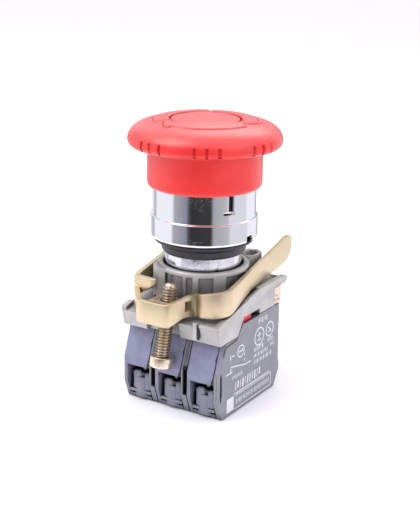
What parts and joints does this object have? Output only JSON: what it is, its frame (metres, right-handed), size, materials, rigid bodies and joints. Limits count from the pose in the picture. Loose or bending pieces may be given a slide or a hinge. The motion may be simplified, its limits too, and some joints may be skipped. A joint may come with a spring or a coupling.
{
  "type": "emergency stop button",
  "caption": "Turn-to-release emergency stop button: red mushroom head, chrome bezel, fixing collar with locking lever and clamp screw, and a row of contact blocks.",
  "frame": {"origin": "on the button's axis, at the middle of the middle contact block's bottom face", "axes": "+Z along the button's axis towards the mushroom, +X along the row of blocks towards the side with the printed face, -Y towards the clamp screw"},
  "size_m": [0.04, 0.0523, 0.0756],
  "materials": {
    "cap_plastic": "smooth moulded, slight sheen",
    "chrome": "polished",
    "rubber": "matt",
    "nylon": "moulded",
    "steel": "bright zinc",
    "zamak": "die-cast, matt",
    "chromate_steel": "yellow chromate",
    "copper_plate": "plated",
    "brass": "stamped",
    "case_plastic": "moulded, fine satin",
    "cover_plastic": "moulded, fine satin",
    "plunger_red": "moulded",
    "plunger_green": "moulded"
  },
  "bodies": {
    "frame": {"head_bezel": "chrome", "panel_gasket": "rubber", "stem_seal": "rubber", "latch_sleeve": "nylon", "latch_clip": "steel", "return_spring": "steel", "collar_body": "zamak", "block_catch": "brass", "block_housing_left": "case_plastic", "block_housing_middle": "case_plastic", "block_housing_right": "case_plastic", "block_cover_left": "cover_plastic", "block_cover_middle": "cover_plastic", "block_cover_right": "cover_plastic", "contact_spring_left": "steel", "contact_spring_middle": "steel", "contact_spring_right": "steel", "fixed_contact_left_front": "brass", "fixed_contact_left_rear": "brass", "fixed_contact_middle_front": "brass", "fixed_contact_middle_rear": "brass", "fixed_contact_right_front": "brass", "fixed_contact_right_rear": "brass"},
    "pusher_carrier": {"pusher": "nylon"},
    "turning_head": {"mushroom_cap": "cap_plastic", "cap_disc": "cap_plastic", "cap_screw": "steel", "actuator_stem": "steel", "retaining_ring": "steel"},
    "lever": {"locking_lever": "chromate_steel", "clamp_nut": "copper_plate"},
    "clamp_screw_body": {"clamp_screw": "chromate_steel"},
    "plunger_left": {"contact_plunger_left": "plunger_red", "contact_bridge_left": "copper_plate"},
    "plunger_middle": {"contact_plunger_middle": "plunger_green", "contact_bridge_middle": "copper_plate"},
    "plunger_right": {"contact_plunger_right": "plunger_red", "contact_bridge_right": "copper_plate"},
    "terminal_left_front": {"terminal_screw_left_front": "steel", "clamp_saddle_left_front": "steel"},
    "terminal_left_rear": {"terminal_screw_left_rear": "steel", "clamp_saddle_left_rear": "steel"},
    "terminal_middle_front": {"terminal_screw_middle_front": "steel", "clamp_saddle_middle_front": "steel"},
    "terminal_middle_rear": {"terminal_screw_middle_rear": "steel", "clamp_saddle_middle_rear": "steel"},
    "terminal_right_front": {"terminal_screw_right_front": "steel", "clamp_saddle_right_front": "steel"},
    "terminal_right_rear": {"terminal_screw_right_rear": "steel", "clamp_saddle_right_rear": "steel"}
  },
  "joints": [
    {"name": "button_press", "type": "slide", "parent": "frame", "child": "pusher_carrier", "axis": [0, 0, -1], "range_m": [0, 0.0043], "stiffness_N_per_m": 1500, "springref_m": -0.004, "deforming": ["return_spring"]},
    {"name": "cap_turn", "type": "hinge", "parent": "pusher_carrier", "child": "turning_head", "pos_m": [0, 0, 0], "axis": [0, 0, -1], "range_deg": [0, 40], "stiffness_Nm_per_rad": 0.02, "springref_deg": -17.19},
    {"name": "lever_turn", "type": "hinge", "parent": "frame", "child": "lever", "pos_m": [0, 0, 0], "axis": [0, 0, -1], "range_deg": [0, 10]},
    {"name": "clamp_travel", "type": "slide", "parent": "lever", "child": "clamp_screw_body", "axis": [0.0362, 0.154, 0.9874], "range_m": [-0.002, 0.006]},
    {"name": "plunge_left", "type": "slide", "parent": "frame", "child": "plunger_left", "axis": [0, 0, -1], "range_m": [0, 0.0043], "deforming": ["contact_spring_left"]},
    {"name": "plunge_middle", "type": "slide", "parent": "frame", "child": "plunger_middle", "axis": [0, 0, -1], "range_m": [0, 0.0043], "deforming": ["contact_spring_middle"]},
    {"name": "plunge_right", "type": "slide", "parent": "frame", "child": "plunger_right", "axis": [0, 0, -1], "range_m": [0, 0.0043], "deforming": ["contact_spring_right"]},
    {"name": "tighten_left_front", "type": "slide", "parent": "frame", "child": "terminal_left_front", "axis": [0, 0, 1], "range_m": [0, 0.0018]},
    {"name": "tighten_left_rear", "type": "slide", "parent": "frame", "child": "terminal_left_rear", "axis": [0, 0, 1], "range_m": [0, 0.0018]},
    {"name": "tighten_middle_front", "type": "slide", "parent": "frame", "child": "terminal_middle_front", "axis": [0, 0, 1], "range_m": [0, 0.0018]},
    {"name": "tighten_middle_rear", "type": "slide", "parent": "frame", "child": "terminal_middle_rear", "axis": [0, 0, 1], "range_m": [0, 0.0018]},
    {"name": "tighten_right_front", "type": "slide", "parent": "frame", "child": "terminal_right_front", "axis": [0, 0, 1], "range_m": [0, 0.0018]},
    {"name": "tighten_right_rear", "type": "slide", "parent": "frame", "child": "terminal_right_rear", "axis": [0, 0, 1], "range_m": [0, 0.0018]}
  ],
  "couplings": [
    {"joint": "plunge_left", "follows": "button_press", "ratio": 1},
    {"joint": "plunge_middle", "follows": "button_press", "ratio": 1},
    {"joint": "plunge_right", "follows": "button_press", "ratio": 1}
  ]
}
